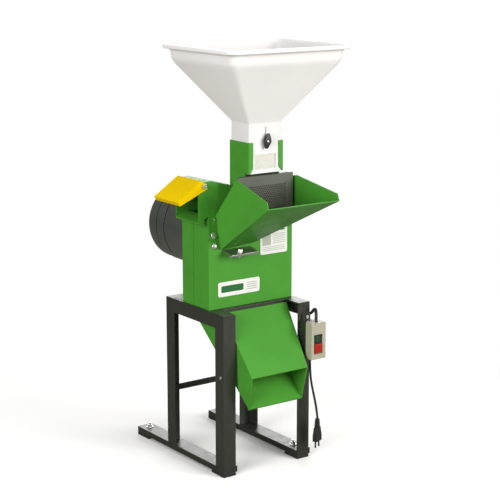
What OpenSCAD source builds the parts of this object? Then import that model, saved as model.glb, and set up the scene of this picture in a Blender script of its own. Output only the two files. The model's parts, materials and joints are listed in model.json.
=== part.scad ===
// Electric forage hammer mill on an angle-iron stand.
// Working frame: x = 0 is the stand's centre plane, y = 0 its front plane with +y to the rear, and z = 0 the
// floor.
// placed() moves every piece so that the origin is the centre of the whole machine's base.

/* [Stand] */
// Width of the stand across its legs
stand_w = 295; // [290:1:305]
// Depth of the stand across its legs
stand_d = 286; // [276:1:300]
// Height of the stand's top face
stand_h = 460; // [455:1:470]
// Width of each flange of the angle iron
angle_w = 40; // [38:1:42]
// Thickness of the angle iron
angle_t = 4; // [3:0.5:5]
// Length of a foot bar
foot_bar_l = 452; // [440:1:470]
// Width of a foot bar
foot_bar_w = 48; // [46:1:50]
// Depth of a foot bar's flanges
foot_bar_h = 17; // [14:1:20]
// Height of a rubber foot
foot_h = 8; // [6:1:12]
// Length of a rubber foot
foot_l = 60; // [50:1:70]

/* [Mill housing] */
// Width of the housing
body_w = 284; // [280:1:288]
// Depth of the housing, front plate to back plate
body_d = 128; // [126:1:132]
// Distance from the stand's front plane to the housing's front plate
body_y = 77; // [74:1:80]
// Height of the seam between the front cover and the outlet hood
seam_z = 721; // [715:1:726]
// Height of the hood's top at the centre plane
hood_top_z = 783; // [778:1:790]
// Rise of the hood's top per millimetre towards the outlet
hood_slope = 0.265; // [0.22:0.005:0.3]
// Distance that the outlet duct stands out of the housing's left side
duct_reach = 32; // [26:1:36]
// Thickness of the sheet metal
sheet_t = 2.5; // [2:0.5:3]

/* [Rotor and motor] */
// Height of the shaft
shaft_z = 644; // [640:1:648]
// Radius of the shaft
shaft_r = 14; // [12:1:16]
// Radius of the hammer tips
hammer_tip_r = 116; // [110:1:118]
// Radius of the circle through the hammer pins
pin_circle_r = 72; // [68:1:76]
// Radius of a hammer pin
pin_r = 5; // [4:0.5:6]
// Radius of the motor's shell
motor_r = 115; // [112:1:117]
// Length of the motor behind the housing
motor_l = 236; // [232:1:240]

/* [Hopper and neck] */
// Half width of the hopper's rim
rim_half_x = 202; // [190:1:208]
// Half depth of the hopper's rim
rim_half_y = 167; // [155:1:174]
// Height of the hopper's top
hopper_top_z = 1179; // [1150:1:1200]
// Height where the hopper's slope meets its neck
hopper_neck_z = 973; // [965:1:985]
// Half width of the neck channel
neck_half_x = 57.5; // [56:0.5:60]
// Distance from the stand's front plane to the neck channel's front
neck_y = 8; // [7:0.5:10]
// Depth of the neck channel
neck_d = 89; // [86:1:92]
// Height of the neck channel's top
neck_top_z = 922; // [915:1:930]
// How far the gate slides up
gate_travel = 33; // [26:1:33]

/* [Feed trough and outlet chute] */
// Half width of the trough's front lip
trough_half_x = 117; // [112:1:120]
// How far the trough's lip stands in front of the stand
trough_reach = 160; // [150:1:170]
// Height of the trough's front lip
trough_lip_z = 773; // [765:1:780]
// Half width of the chute's mouth
chute_half_x = 94; // [90:1:96]
// How far the chute's mouth stands in front of the stand
chute_reach = 58; // [52:1:62]
// Height of the top of the chute's mouth
chute_mouth_z = 291; // [285:1:300]

/* [Switch box] */
// Width of the switch box
switch_w = 50; // [46:1:54]
// Height of the switch box
switch_h = 104; // [98:1:110]
// How far a button travels
button_travel = 3; // [2:0.5:4]

/* [Hidden] */
$fn = 64;

// clearances
run_gap = 0.05;
fit_gap = 0.1;
cut = 1;

// stand
bar_top = foot_h + foot_bar_h;
leg_x = stand_w / 2;
rail_drop = angle_w;
brace_z = 177;
brace_h = 18;
cross_rail_y = 60;

// housing
half_w = body_w / 2;
body_back = body_y + body_d;
split_y = body_y + 74;
split_step = 1;
duct_x = -half_w - duct_reach;
duct_back = body_back - 17;
duct_lip_z = seam_z - 16;
duct_roof_end = -157;
duct_peak_x = -134;
duct_corner = [-166, 816];
duct_edge_z = 800;
function hood_z(x) = hood_top_z - hood_slope * x;

// deflector, as x and z in the plane across its hinge
flap_hinge = [-157.3, 806];
flap_top = [-165, 821.5];
flap_tip = [-243, 771];
flap_end = [-234, 760];
flap_heel = [-145, 798];
flap_gap = 1;
flap_t = 2;
flap_bolt_r = 4;

// trough, as a side view in y and z; the side walls lean in a plane
trough_bend_left = [-3, 828];
trough_bend_right = [6, 820];
trough_tail_right = [32, 815];
trough_brow = [-trough_reach + 6, trough_lip_z + 17];
trough_lip = [-trough_reach, trough_lip_z];
mouth_left = [-102, 627];
mouth_mid = [5, 634];
mouth_right = [101, 680];
wall_lean_z = 0.017;
wall_lean_y = (trough_half_x - 102 + wall_lean_z * (trough_lip_z - 627)) / (body_y + trough_reach);
function wall_x(y, z) = trough_half_x - wall_lean_y * (y + trough_reach) - wall_lean_z * (z - trough_lip_z);

// rotor
hub_front = body_y + 13;
hub_back = body_back - 25;
disc_t = 6;
disc_r = 88;
front_disc_y = body_y + 19;
back_disc_y = hub_back - 8;
knife_t = 8;
knife_w = 46;
hammer_t = 6;
hammer_w = 30;
hammer_gap = (back_disc_y - front_disc_y - disc_t - 3 * hammer_t) / 4;
sieve_r = 124;
sieve_front = body_y + 9;

// motor: shell, grooved rear shield and fan cover, each a little smaller than the one before it
shell_l = 138;
shield_l = 50;
groove_w = 7;
groove_depth = 6;
shield_r = motor_r - 1;
cover_r = motor_r - 3;
bearing_r = 31;
bearing_l = 14;
shell_t = 6;
core_r = 55;
core_y = 28;
core_l = 102;

// hopper
neck_back = neck_y + neck_d;
hopper_wall = 3;
insert_half_x = neck_half_x - sheet_t - 0.3;
insert_front = neck_y + sheet_t + 0.3;
insert_back = neck_back - sheet_t - 0.3;
insert_bottom = 837;
hopper_y = (neck_y + neck_back) / 2;
lip_t = 11;
lip_in = 17;
skirt_h = 24;
rim_corner = 24;
skirt_corner = 22;
skirt_z = hopper_top_z - lip_t - skirt_h;
stud_z = 924;
stud_r = 3;
gate_y = insert_front + hopper_wall + 0.3;
gate_t = 2;
window_half_x = 35;
window_z = [845, 888];

// guard
guard_y = 10;
guard_half_x = 93;
guard_z = [715, 830.5];
guard_depth = 14;

// switch
switch_x = 112;
switch_z = 306;
switch_front = -55;
switch_back = -28;
cover_t = 6;
button_x = switch_x + 24;
start_z = switch_z + 57;
stop_z = switch_z + 31;
start_r = 10.5;
stop_w = 26;

// The whole machine's extents in the working frame
left_reach = -flap_tip[0];
right_reach = rim_half_x;
front_reach = trough_reach + sheet_t / 2;
machine_x = (right_reach - left_reach) / 2;
machine_y = (foot_bar_l - front_reach) / 2;

module placed() {
    translate([-machine_x, -machine_y, 0])
        children();
}

// Both sides of the centre plane
module both_sides() {
    children();
    mirror([1, 0, 0])
        children();
}

// A shape that is drawn in x and z, given a thickness in y from y0 to y1
module slab(y0, y1) {
    translate([0, y1, 0])
        rotate([90, 0, 0])
            linear_extrude(y1 - y0)
                children();
}

// A cylinder along +y from y0 to y1
module rod(x, z, r, y0, y1) {
    translate([x, y0, z])
        rotate([-90, 0, 0])
            cylinder(r = r, h = y1 - y0);
}

// A hexagon prism along +y from y0 to y1, sized across its corners
module hex(x, z, r, y0, y1) {
    translate([x, y0, z])
        rotate([-90, 0, 0])
            cylinder(r = r, h = y1 - y0, $fn = 6);
}

// A flat sheet through three or more corner points
module sheet(points, t = sheet_t) {
    hull()
        for (p = points)
            translate(p)
                cube(t, center = true);
}

// A round cable through a list of points
module cable(points, r) {
    for (i = [0 : len(points) - 2])
        hull()
            for (p = [points[i], points[i + 1]])
                translate(p)
                    sphere(r = r, $fn = 16);
}

// ---- stand ----

module angle_section() {
    difference() {
        square(angle_w);
        translate([angle_t, angle_t])
            square(angle_w);
    }
}

leg_screw_r = 3;
leg_screw_y = 12;
leg_screw_z = 285;

// Leg at the left, its outer corner on the stand's corner. A front leg's front flange runs down over the end of
// the foot bar.
module left_leg(rear) {
    top = stand_h - angle_t;
    translate([-leg_x, rear ? stand_d : 0, 0])
        mirror([0, rear ? 1 : 0, 0])
            difference() {
                union() {
                    translate([0, 0, bar_top])
                        linear_extrude(top - bar_top)
                            angle_section();
                    if (!rear)
                        translate([0, 0, foot_h])
                            cube([angle_w, angle_t, foot_bar_h]);
                }
                if (!rear)
                    translate([-cut, leg_screw_y, leg_screw_z])
                        rotate([0, 90, 0])
                            cylinder(r = leg_screw_r + fit_gap, h = angle_t + 2 * cut);
            }
}

module leg_front_left() {
    color("dimgray")
        placed()
            left_leg(false);
}

module leg_front_right() {
    color("dimgray")
        placed()
            difference() {
                mirror([1, 0, 0])
                    left_leg(false);
                rod(bracket_bolt_x, bracket_bolt_z, leg_screw_r + fit_gap, -cut, angle_t + cut);
            }
}

module leg_rear_left() {
    color("dimgray")
        placed()
            left_leg(true);
}

module leg_rear_right() {
    color("dimgray")
        placed()
            mirror([1, 0, 0])
                left_leg(true);
}

module side_rail() {
    translate([-leg_x, 0, stand_h - angle_t])
        cube([angle_w, stand_d, angle_t]);
    translate([-leg_x, angle_w, stand_h - rail_drop])
        cube([angle_t, stand_d - 2 * angle_w, rail_drop - angle_t]);
}

module top_rail_left() {
    color("dimgray")
        placed()
            side_rail();
}

module top_rail_right() {
    color("dimgray")
        placed()
            mirror([1, 0, 0])
                side_rail();
}

// Angle iron across the stand, between the side rails. Its upright flange is at flange_y and is shorter by notch
// at each end.
module cross_angle(y0, flange_y, notch) {
    half = leg_x - angle_w;
    translate([-half, y0, stand_h - angle_t])
        cube([2 * half, angle_w, angle_t]);
    translate([-half + notch, flange_y, stand_h - rail_drop])
        cube([2 * (half - notch), angle_t, rail_drop]);
}

module top_rail_rear() {
    color("dimgray")
        placed()
            cross_angle(stand_d - angle_w, stand_d - angle_t, 0);
}

module front_cross_rail() {
    color("dimgray")
        placed()
            cross_angle(cross_rail_y, cross_rail_y, 6);
}

module rear_brace() {
    half = leg_x - angle_t;
    color("dimgray")
        placed()
            translate([-half, stand_d - 2 * angle_t, brace_z])
                cube([2 * half, angle_t, brace_h]);
}

// Inverted channel, starting behind the front leg's front flange
module foot_bar(x0) {
    translate([x0, angle_t, foot_h])
        difference() {
            cube([foot_bar_w, foot_bar_l - angle_t, foot_bar_h]);
            translate([angle_t, -cut, -cut])
                cube([foot_bar_w - 2 * angle_t, foot_bar_l + 2 * cut, foot_bar_h - angle_t + cut]);
            for (y = foot_bolt_ys)
                translate([bolt_inset - angle_t / 2, y - angle_t, 0])
                    cylinder(r = foot_bolt_r + fit_gap, h = foot_bar_h + cut);
        }
}

bolt_inset = foot_bar_w / 2 + angle_t / 2;
foot_bolt_r = 4;
foot_bolt_ys = [52, foot_bar_l - 29];
left_bar_x = -leg_x;
right_bar_x = leg_x - angle_w;

module foot_bar_left() {
    color("dimgray")
        placed()
            foot_bar(left_bar_x);
}

module foot_bar_right() {
    color("dimgray")
        placed()
            foot_bar(right_bar_x);
}

// A rubber block under each end of each bar, with an upper part inside the channel
module rubber_foot(x0, y0, bolt_y) {
    difference() {
        union() {
            translate([x0, y0, 0])
                cube([angle_w, foot_l, foot_h]);
            translate([x0 + angle_t + fit_gap, y0 + angle_t + fit_gap, 0])
                cube([angle_w - 2 * angle_t, foot_l - 2 * angle_t, bar_top - angle_t - fit_gap]);
        }
        translate([x0 + bolt_inset - angle_t / 2, bolt_y, -cut])
            cylinder(r = foot_bolt_r + fit_gap, h = bar_top + 2 * cut);
        translate([x0 + bolt_inset - angle_t / 2, bolt_y, -cut])
            cylinder(r = 2 * foot_bolt_r + 1, h = 4 + cut);
    }
}

module rubber_feet() {
    color("black")
        placed()
            for (x = [left_bar_x, right_bar_x]) {
                rubber_foot(x, 0, foot_bolt_ys[0]);
                rubber_foot(x, foot_bar_l - foot_l, foot_bolt_ys[1]);
            }
}

module foot_bolt(x, y) {
    translate([x, y, 1]) {
        cylinder(r = 7, h = 3, $fn = 6);
        cylinder(r = foot_bolt_r, h = bar_top + 13);
        translate([0, 0, bar_top - 1])
            cylinder(r = 10, h = 2);
        translate([0, 0, bar_top + 1])
            cylinder(r = 7.5, h = 6.5, $fn = 6);
    }
}

module foot_bolts() {
    color("silver")
        placed()
            for (x = [left_bar_x, right_bar_x])
                for (y = foot_bolt_ys)
                    foot_bolt(x + bolt_inset - angle_t / 2, y);
}

// Small screw with its nut, its head's underside at z = 0
module small_screw(grip) {
    translate([0, 0, -3])
        cylinder(r = 4.5, h = 3);
    translate([0, 0, -1])
        cylinder(r = leg_screw_r, h = grip + 8);
    translate([0, 0, grip])
        cylinder(r = 6, h = 5, $fn = 6);
}

// One through each front leg's side flange, and one that holds the switch bracket's ear
module leg_screws() {
    color("silver")
        placed() {
            both_sides()
                translate([-leg_x, leg_screw_y, leg_screw_z])
                    rotate([0, 90, 0])
                        small_screw(angle_t);
            translate([bracket_bolt_x, -bracket_t, bracket_bolt_z])
                rotate([-90, 0, 0])
                    small_screw(angle_t + bracket_t);
        }
}

// ---- housing ----

mouth_margin = 4;

module mouth_outline() {
    polygon([
        mouth_left + [mouth_margin, mouth_margin],
        mouth_mid + [0, mouth_margin],
        mouth_right + [-mouth_margin, mouth_margin],
        [mouth_right[0] - mouth_margin, seam_z - 2 * mouth_margin],
        [mouth_left[0] + mouth_margin, seam_z - 2 * mouth_margin]]);
}

cover_bolt_spots = [[-121, 637], [-124.5, 667]];
cover_bolt_r = 4;

// Shallow tray with the feed mouth in its front plate, and a ledge below the mouth for the counter knife
module front_cover() {
    color("limegreen")
        placed()
            difference() {
                union() {
                    difference() {
                        translate([-half_w, body_y, stand_h])
                            cube([body_w, split_y - body_y, seam_z - stand_h]);
                        translate([-half_w + sheet_t, body_y + sheet_t, stand_h - cut])
                            cube([body_w - 2 * sheet_t, body_d, seam_z - stand_h + 2 * cut]);
                    }
                    counter_ledge();
                }
                slab(body_y - cut, body_y + sheet_t + cut)
                    mouth_outline();
                tilted_to_knife()
                    translate([-knife_plate_w / 2 - 0.5, -12, -knife_plate_t / 2 - fit_gap])
                        cube([knife_plate_w + 1, 24, knife_plate_t + 3 * fit_gap]);
                for (spot = cover_bolt_spots)
                    rod(spot[0], spot[1], cover_bolt_r + fit_gap, body_y - cut, body_y + sheet_t + cut);
                flange_rivet(rivet_r + fit_gap, rivet_r + fit_gap);
                counter_bolt_hole();
            }
}

knife_plate_w = 94;
knife_plate_l = 46;
knife_plate_t = 6;
knife_plate_x = -50;
knife_plate_tilt = 14;
knife_plate_z = 621.5;

// The counter knife's own frame: its origin is where its mid thickness crosses the front plate, and y outwards is
// negative
module tilted_to_knife() {
    translate([knife_plate_x, body_y, knife_plate_z])
        rotate([knife_plate_tilt, 0, 0])
            children();
}

module counter_ledge() {
    tilted_to_knife()
        translate([-30, -30, -knife_plate_t / 2 - 4 - fit_gap])
            cube([60, 30, 4]);
}

module counter_bolt_hole() {
    tilted_to_knife()
        translate([0, -18, -20])
            cylinder(r = 4 + fit_gap, h = 40);
}

module counter_knife() {
    color("gray")
        placed()
            difference() {
                tilted_to_knife()
                    translate([-knife_plate_w / 2, -knife_plate_l + 6, -knife_plate_t / 2])
                        cube([knife_plate_w, knife_plate_l, knife_plate_t]);
                counter_bolt_hole();
            }
}

module counter_knife_bolt() {
    color("silver")
        placed()
            tilted_to_knife()
                translate([0, -18, 0]) {
                    translate([0, 0, -18])
                        cylinder(r = 4, h = 24);
                    translate([0, 0, knife_plate_t / 2])
                        cylinder(r = 7, h = 5.5, $fn = 6);
                    translate([0, 0, -knife_plate_t / 2 - 4 - 2 * fit_gap - 6])
                        cylinder(r = 7, h = 6, $fn = 6);
                }
}

module cover_bolts() {
    color("silver")
        placed()
            for (spot = cover_bolt_spots)
                translate([spot[0], body_y, spot[1]])
                    rotate([90, 0, 0]) {
                        intersection() {
                            translate([0, 0, -8])
                                sphere(r = 13);
                            cylinder(r = 9.5, h = 8);
                        }
                        translate([0, 0, -8])
                            cylinder(r = cover_bolt_r, h = 8 + 1);
                        translate([0, 0, -sheet_t - 5])
                            cylinder(r = 7, h = 5, $fn = 6);
                    }
}

// Back half of the housing, a little wider than the front cover. The motor's opening is in its back plate.
// It is open at the bottom, and at the top as far as the hood's back wall.
module rear_housing() {
    half = half_w + split_step;
    color("forestgreen")
        placed()
            difference() {
                translate([-half, split_y, stand_h])
                    cube([2 * half, body_back - split_y, seam_z - stand_h]);
                translate([-half + sheet_t, split_y - cut, stand_h - cut])
                    cube([2 * (half - sheet_t), body_back - split_y - sheet_t + cut,
                        seam_z - stand_h - sheet_t + cut]);
                translate([-half + sheet_t, split_y - cut, seam_z - 2 * sheet_t])
                    cube([2 * (half - sheet_t), duct_back - sheet_t - split_y + cut, 3 * sheet_t]);
                rod(0, shaft_z, 40, body_back - sheet_t - cut, body_back + cut);
                for (a = motor_bolt_angles)
                    rod(motor_bolt_ring * cos(a), shaft_z + motor_bolt_ring * sin(a),
                        motor_bolt_r + fit_gap, body_back - sheet_t - cut, body_back + cut);
            }
}

motor_bolt_ring = 62;
motor_bolt_r = 4;
motor_bolt_angles = [45, 135, 225, 315];

// Upper part of the housing: sloped roof, front and back walls, and the outlet duct at the left. The floor of the
// duct slopes down to a lip. The roof stops short of the deflector's top edge.
module outlet_hood() {
    side_x = -half_w - split_step - fit_gap;
    color("forestgreen")
        placed() {
            difference() {
                slab(body_y, duct_back)
                    polygon([[duct_x, duct_lip_z], [duct_x, duct_edge_z], duct_corner,
                        [duct_peak_x, hood_z(duct_peak_x)], [half_w, hood_z(half_w)], [half_w, seam_z],
                        [side_x, seam_z]]);
                // rotor space, as far left as the duct's root
                slab(body_y + sheet_t, duct_back - sheet_t)
                    polygon([[-half_w + sheet_t, seam_z - cut],
                        [duct_peak_x, hood_z(duct_peak_x) - sheet_t],
                        [half_w - sheet_t, hood_z(half_w) - sheet_t], [half_w - sheet_t, seam_z - cut]]);
                // duct
                slab(body_y + sheet_t, duct_back - sheet_t)
                    polygon([[duct_x - cut, duct_lip_z + sheet_t], [duct_x, duct_lip_z + sheet_t],
                        [side_x, seam_z + sheet_t], [duct_peak_x + cut, seam_z + sheet_t],
                        [duct_peak_x + cut, hood_z(duct_peak_x) - sheet_t],
                        [duct_roof_end, duct_corner[1] - sheet_t],
                        [duct_x - cut, duct_corner[1] - sheet_t]]);
                // open top under the deflector
                translate([duct_x - cut, body_y + sheet_t, duct_edge_z])
                    cube([duct_roof_end - duct_x + cut, duct_back - body_y - 2 * sheet_t, hood_top_z]);
                deflector_bolt_holes(flap_bolt_r + fit_gap);
            }
            // rounded ear under the duct's front wall
            slab(body_y, body_y + sheet_t)
                hull()
                    for (z = [duct_lip_z - 3, duct_lip_z + 14])
                        translate([duct_x + 10, z])
                            circle(r = 8);
        }
}

module deflector_bolt_holes(r) {
    rod(flap_hinge[0], flap_hinge[1], r, body_y - 10, duct_back + 10);
}

// Half-round perforated sheet below the rotor
module sieve() {
    slots = 9;
    rows = 3;
    row_pitch = 34;
    color("gray")
        placed()
            translate([0, sieve_front, shaft_z])
                rotate([-90, 0, 0])
                    difference() {
                        rotate_extrude(angle = 180)
                            translate([sieve_r, 0])
                                square([2, body_back - sheet_t - sieve_front]);
                        for (i = [0 : slots - 1], j = [0 : rows - 1])
                            rotate([0, 0, 18 + i * 18])
                                translate([sieve_r - 2, -4, 12 + j * row_pitch])
                                    cube([6, 8, 22]);
                    }
}

// ---- feed trough and guard ----

function wall_point(side, yz) = [side * wall_x(yz[0], yz[1]), yz[0], yz[1]];
trough_rear_y = body_y - sheet_t / 2;
floor_left = wall_point(-1, trough_lip);
floor_right = wall_point(1, trough_lip);
corner_left = [mouth_left[0], trough_rear_y, mouth_left[1]];
corner_mid = [mouth_mid[0], trough_rear_y, mouth_mid[1]];
corner_right = [mouth_right[0], trough_rear_y, mouth_right[1]];
bend_left = wall_point(-1, trough_bend_left);
root_left = [-117, trough_rear_y, seam_z - 1];
flange_x = -127.5;

module feed_trough() {
    color("green")
        placed()
            difference() {
                union() {
                    sheet([bend_left, wall_point(-1, trough_brow), floor_left, corner_left]);
                    sheet([bend_left, corner_left, root_left]);
                    sheet([floor_left, floor_right, corner_mid]);
                    sheet([floor_left, corner_mid, corner_left]);
                    sheet([floor_right, corner_mid, corner_right]);
                    sheet([floor_right, wall_point(1, trough_brow), wall_point(1, trough_bend_right),
                        wall_point(1, trough_tail_right), wall_point(1, [trough_rear_y, seam_z]),
                        corner_right]);
                    // flange against the front cover
                    slab(body_y - sheet_t, body_y)
                        polygon([mouth_left, [flange_x + 15.5, seam_z - 33], [flange_x, seam_z - 23],
                            [flange_x, seam_z - 1], [root_left[0] + 1, seam_z - 1]]);
                }
                flange_rivet(rivet_r + fit_gap, rivet_r + fit_gap);
                floor_rivet(rivet_r + fit_gap, rivet_r + fit_gap);
            }
}

rivet_r = 2;
rivet_head_r = 3.5;
rivet_head_t = 1.2;

// Rivet with its two heads, at right angles to a sheet whose middle is at z = 0
module rivet(r, head_r, grip) {
    for (side = [0, 1])
        mirror([0, 0, side])
            translate([0, 0, grip / 2])
                cylinder(r = head_r, h = rivet_head_t);
    cylinder(r = r, h = grip + 2 * rivet_head_t, center = true);
}

// Through the trough's flange and the front cover
module flange_rivet(r, head_r) {
    translate([flange_x + 5, body_y, seam_z - 10])
        rotate([90, 0, 0])
            rivet(r, head_r, 2 * sheet_t + 2 * run_gap);
}

// Through the trough's floor near its root, placed by its share of the way from the lip to two rear corners
module floor_rivet(r, head_r) {
    spot = 0.13 * floor_left + 0.6 * corner_left + 0.27 * corner_mid;
    across = cross(corner_mid - floor_left, corner_left - floor_left);
    up = across / norm(across);
    translate(spot)
        rotate(a = acos(up[2]), v = cross([0, 0, 1], up))
            rivet(r, head_r, 1.5 * sheet_t + 2 * run_gap);
}

module trough_rivets() {
    color("silver")
        placed() {
            flange_rivet(rivet_r, rivet_head_r);
            floor_rivet(rivet_r, rivet_head_r);
        }
}

// Outline of the guard from above, open to the rear: a front plate whose sides are folded back and inwards
module guard_plan(inset, back) {
    front = guard_y + inset;
    half_front = guard_half_x - inset;
    half_back = guard_half_x - guard_fold - inset;
    polygon([[-half_front, front], [half_front, front], [half_back, back], [-half_back, back]]);
}

guard_fold = 10;
guard_t = 2;

// Plain sheet here; its holes are fine. Its sides end in ears that reach the trough's walls.
module guard_screen() {
    ear_z = 742;
    ear_h = 50;
    guard_back = guard_y + guard_depth;
    ear_in = guard_half_x - guard_fold - guard_t;
    ear_x = wall_x(guard_back + 2, ear_z + ear_h) - sheet_t / 2 - 0.2;
    color("dimgray")
        placed() {
            translate([-guard_half_x, guard_y, guard_z[0]])
                cube([2 * guard_half_x, guard_t, ear_z - guard_z[0]]);
            difference() {
                translate([0, 0, ear_z])
                    linear_extrude(guard_z[1] - ear_z)
                        guard_plan(0, guard_back);
                translate([0, 0, ear_z - cut])
                    linear_extrude(guard_z[1] - guard_t - ear_z + cut)
                        guard_plan(guard_t, guard_back + cut);
            }
            both_sides()
                translate([-ear_x, guard_back - guard_t, ear_z])
                    cube([ear_x - ear_in, guard_t, ear_h]);
        }
}

// ---- neck and hopper ----

// Channel open to the front, with narrow front flanges. It stands on the hood and reaches down in front of it.
module hopper_neck() {
    flange_w = 15;
    flange_z = 851;
    side_z = 838;
    foot_z = 745;
    front_gap_y = guard_y + guard_depth + 2;
    side_x = neck_half_x + cut;
    color("green")
        placed()
            difference() {
                translate([-neck_half_x, neck_y, foot_z])
                    cube([2 * neck_half_x, neck_d, neck_top_z - foot_z]);
                translate([-neck_half_x + sheet_t, neck_y + sheet_t, foot_z - cut])
                    cube([2 * (neck_half_x - sheet_t), neck_d - 2 * sheet_t,
                        neck_top_z - foot_z + 2 * cut]);
                translate([-neck_half_x + flange_w, neck_y - cut, foot_z - cut])
                    cube([2 * (neck_half_x - flange_w), 5 + cut, neck_top_z]);
                // room for the guard, below flanges that are cut off at a slant
                translate([-neck_half_x - cut, neck_y - cut, foot_z - cut])
                    cube([2 * neck_half_x + 2 * cut, front_gap_y - neck_y + cut, side_z - foot_z + cut]);
                slab(neck_y - cut, neck_y + 5)
                    polygon([[-neck_half_x, side_z - cut], [-neck_half_x + sheet_t, side_z],
                        [-neck_half_x + flange_w, flange_z], [neck_half_x - flange_w, flange_z],
                        [neck_half_x - sheet_t, side_z], [neck_half_x, side_z - cut]]);
                slab(body_y - fit_gap, neck_back + cut)
                    polygon([[-side_x, foot_z - cut], [-side_x, hood_z(-side_x) + fit_gap],
                        [side_x, hood_z(side_x) + fit_gap], [side_x, foot_z - cut]]);
            }
}

// Rectangle with rounded corners, centred on the hopper
module hopper_ring(half_x, half_y, corner, z, h) {
    for (sx = [-1, 1], sy = [-1, 1])
        translate([sx * (half_x - corner), hopper_y + sy * (half_y - corner), z])
            cylinder(r = corner, h = h, $fn = 32);
}

module hopper_outside() {
    skirt_x = rim_half_x - lip_in;
    skirt_y = rim_half_y - lip_in;
    hull()
        hopper_ring(rim_half_x, rim_half_y, rim_corner, hopper_top_z - lip_t, lip_t);
    hull()
        hopper_ring(skirt_x, skirt_y, skirt_corner, skirt_z, skirt_h);
    hull() {
        hopper_ring(skirt_x, skirt_y, skirt_corner, skirt_z, 0.1);
        hopper_ring(insert_half_x, (insert_back - insert_front) / 2, 6, hopper_neck_z, 0.1);
    }
    translate([-insert_half_x, insert_front, insert_bottom])
        cube([2 * insert_half_x, insert_back - insert_front, hopper_neck_z - insert_bottom]);
    // spout lip in front of the neck's flanges
    hull() {
        translate([-39, neck_y + 2, insert_bottom + 10])
            cube([78, 2, 1]);
        translate([-52.5, neck_y - 4, insert_bottom])
            cube([105, 3, 1]);
        translate([-39, insert_front, insert_bottom])
            cube([78, hopper_wall, 1]);
    }
}

module hopper_inside() {
    wall = 4;
    skirt_x = rim_half_x - lip_in - wall;
    skirt_y = rim_half_y - lip_in - wall;
    inner_x = insert_half_x - hopper_wall;
    inner_y = (insert_back - insert_front) / 2 - hopper_wall;
    hull() {
        hopper_ring(skirt_x, skirt_y, skirt_corner - 3, skirt_z + 2, lip_t + skirt_h + cut);
        hopper_ring(inner_x, inner_y, 5, hopper_neck_z + 2, 0.1);
    }
    translate([-inner_x, hopper_y - inner_y, insert_bottom - cut])
        cube([2 * inner_x, 2 * inner_y, hopper_neck_z + 4 - insert_bottom]);
}

module hopper() {
    slot_w = 2 * stud_r + 1;
    color("white")
        placed()
            difference() {
                hopper_outside();
                hopper_inside();
                // window and the stud's slot
                translate([-window_half_x, 0, window_z[0]])
                    cube([2 * window_half_x, insert_front + hopper_wall + cut, window_z[1] - window_z[0]]);
                translate([-slot_w / 2, 0, stud_z - slot_w / 2])
                    cube([slot_w, insert_front + hopper_wall + cut, gate_travel + slot_w + 1]);
            }
}

// Tall enough to close the stud's slot as well as the window
module gate_plate() {
    top_z = stud_z + gate_travel + 10;
    bottom_z = window_z[0] - 6;
    color("tan")
        placed()
            difference() {
                translate([-window_half_x - 7, gate_y, bottom_z])
                    cube([2 * window_half_x + 14, gate_t, top_z - bottom_z]);
                rod(0, stud_z, stud_r + fit_gap, gate_y - cut, gate_y + gate_t + cut);
            }
}

knob_front = neck_y - 11;
knob_t = 9;

module gate_stud() {
    color("silver")
        placed() {
            rod(0, stud_z, stud_r, knob_front + 1, gate_y + gate_t + 3);
            hex(0, stud_z, 6, gate_y + gate_t, gate_y + gate_t + 4);
        }
}

// Wing knob that clamps the gate
module gate_knob() {
    color("black")
        placed()
            difference() {
                union() {
                    rod(0, stud_z, 8, knob_front + 1, insert_front - 0.5);
                    translate([0, knob_front, stud_z])
                        rotate([-90, 10, 0])
                            hull() {
                                for (s = [-1, 1])
                                    translate([0, s * 17, 2])
                                        cylinder(r = 4, h = knob_t - 3, $fn = 32);
                                cylinder(r = 10, h = knob_t, $fn = 32);
                            }
                }
                rod(0, stud_z, stud_r + run_gap, knob_front - cut, insert_front);
            }
}

// ---- deflector ----

module flap_side() {
    polygon([flap_top, flap_tip, flap_end, flap_heel]);
    translate(flap_hinge)
        circle(r = 9);
}

// Tray turned upside down, its two side flanges outside the duct's walls
module deflector() {
    front = body_y - flap_gap - flap_t;
    back = duct_back + flap_gap + flap_t;
    top_dir = (flap_top - flap_tip) / norm(flap_top - flap_tip);
    inward = [top_dir[1], -top_dir[0]] * flap_t;
    end_dir = (flap_end - flap_tip) / norm(flap_end - flap_tip);
    end_in = [-end_dir[1], end_dir[0]] * flap_t;
    color("gold")
        placed()
            difference() {
                union() {
                    slab(front, front + flap_t)
                        flap_side();
                    slab(back - flap_t, back)
                        flap_side();
                    slab(front, back)
                        polygon([flap_top, flap_tip, flap_tip + inward, flap_top + inward]);
                    slab(front, back)
                        polygon([flap_tip, flap_end, flap_end + end_in, flap_tip + end_in]);
                }
                deflector_bolt_holes(flap_bolt_r + run_gap);
            }
}

// One bolt at each side, from outside the flange to a nut inside the duct
module deflector_bolts() {
    front = body_y - flap_gap - flap_t - 0.5;
    back = duct_back + flap_gap + flap_t + 0.5;
    x = flap_hinge[0];
    z = flap_hinge[1];
    color("silver")
        placed() {
            hex(x, z, 7.5, front - 5, front);
            rod(x, z, flap_bolt_r, front - 1, body_y + sheet_t + 9);
            hex(x, z, 7, body_y + sheet_t + 0.1, body_y + sheet_t + 6);
            hex(x, z, 7.5, back, back + 5);
            rod(x, z, flap_bolt_r, duct_back - sheet_t - 9, back + 1);
            hex(x, z, 7, duct_back - sheet_t - 6, duct_back - sheet_t - 0.1);
        }
}

// ---- outlet chute ----

chute_flare = 0.05;
chute_drop = 91;
chute_rake = 19;
function chute_x(yz) = chute_half_x + chute_flare * (yz[0] + chute_reach + yz[1] - chute_mouth_z);
function chute_point(side, yz) = [side * chute_x(yz), yz[0], yz[1]];

// A sheet between the same two side-view points at the left and the right
module chute_panel(p, q) {
    sheet([chute_point(-1, p), chute_point(1, p), chute_point(1, q), chute_point(-1, q)]);
}

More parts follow.
